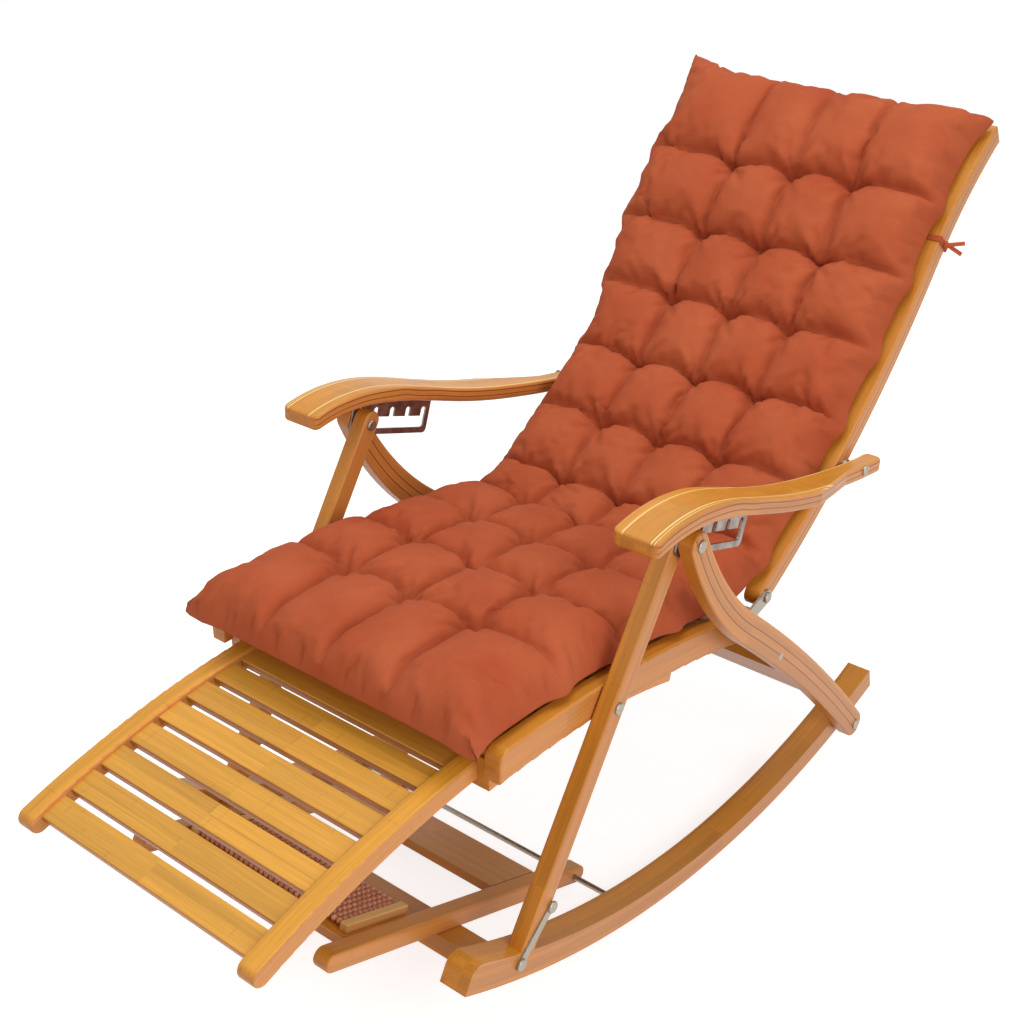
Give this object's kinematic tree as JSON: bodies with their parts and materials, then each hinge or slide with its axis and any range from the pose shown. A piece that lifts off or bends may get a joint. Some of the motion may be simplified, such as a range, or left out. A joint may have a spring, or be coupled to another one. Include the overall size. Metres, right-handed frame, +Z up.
{
  "type": "folding rocking lounger",
  "caption": "Bamboo rocking lounger with a tufted pad, waved armrests on notched plates, a reclining back, a slide-out slatted footrest and a tilting beaded foot board.",
  "frame": {"origin": "on the floor, at the middle of the chair's width and length", "axes": "+Z up, -Y towards the footrest, +Y towards the back, +X to the right of someone who looks along +Y"},
  "size_m": [0.64, 1.571, 1.0632],
  "materials": {
    "bamboo": "satin lacquer over honey-coloured laminated bamboo",
    "bamboo_slat": "satin lacquer over lighter bamboo strips",
    "pad_fabric": "matt woven terracotta cloth",
    "beads": "small reddish-brown wooden beads",
    "plate_paint": "dark brown paint",
    "steel": "plated steel"
  },
  "bodies": {
    "base": {"apex_pin_left": "steel", "apex_pin_right": "steel", "back_hinge_strap_left": "steel", "back_hinge_strap_right": "steel", "cushion_bend": "pad_fabric", "footrest_runner_left": "bamboo", "footrest_runner_right": "bamboo", "front_leg_left": "bamboo", "front_leg_right": "bamboo", "hook_catch_screws": "steel", "hook_pivot_screws": "steel", "rear_leg_crossbar": "bamboo", "rear_leg_left": "bamboo", "rear_leg_right": "bamboo", "rocker_bolt_spacers": "steel", "rocker_bolts": "steel", "rocker_crossbar": "bamboo", "rocker_left": "bamboo", "rocker_right": "bamboo", "rocker_rod": "steel", "seat_bolt_washers": "steel", "seat_bolts": "steel", "seat_cushion": "pad_fabric", "seat_rail_left": "bamboo", "seat_rail_right": "bamboo", "seat_rest_rod": "steel", "seat_slats": "bamboo_slat"},
    "back": {"back_rail_right": "bamboo", "back_rail_left": "bamboo", "back_slats": "bamboo_slat", "back_hinge_bolts": "steel", "arm_pivot_bolts": "steel", "arm_pivot_spacers": "steel", "back_cushion": "pad_fabric"},
    "arms": {"armrest_right": "bamboo", "armrest_left": "bamboo", "notch_plate_right": "plate_paint", "notch_plate_left": "plate_paint"},
    "footrest": {"footrest_rail_right": "bamboo", "footrest_rail_left": "bamboo", "footrest_slats": "bamboo_slat"},
    "massage_board": {"massage_bar_right": "bamboo", "massage_bar_left": "bamboo", "massage_board": "bamboo", "massage_rear_board": "bamboo", "massage_pad": "beads"},
    "hook_right": {"hook_right": "steel"},
    "hook_left": {"hook_left": "steel"}
  },
  "joints": [
    {"name": "recline", "type": "hinge", "parent": "base", "child": "back", "pos_m": [0, 0.1767, 0.4], "axis": [1, 0, 0], "range_deg": [0, 39], "deforming": ["cushion_bend"]},
    {"name": "arm_swing", "type": "hinge", "parent": "back", "child": "arms", "pos_m": [0, 0.3777, 0.551], "axis": [1, 0, 0], "range_deg": [-30.1, 0]},
    {"name": "footrest_slide", "type": "hinge", "parent": "base", "child": "footrest", "pos_m": [0, -0.3003, -0.891], "axis": [1, 0, 0], "range_deg": [-15, 0]},
    {"name": "massage_tilt", "type": "hinge", "parent": "base", "child": "massage_board", "pos_m": [0, -0.1533, 0.042], "axis": [1, 0, 0], "range_deg": [-10, 0]},
    {"name": "hook_right_lift", "type": "hinge", "parent": "base", "child": "hook_right", "pos_m": [0.2828, -0.3543, 0.173], "axis": [1, 0, 0], "range_deg": [-100, 0]},
    {"name": "hook_left_lift", "type": "hinge", "parent": "base", "child": "hook_left", "pos_m": [-0.2828, -0.3543, 0.173], "axis": [1, 0, 0], "range_deg": [-100, 0]}
  ],
  "couplings": [
    {"joint": "arm_swing", "follows": "recline", "ratio": -0.7713}
  ]
}
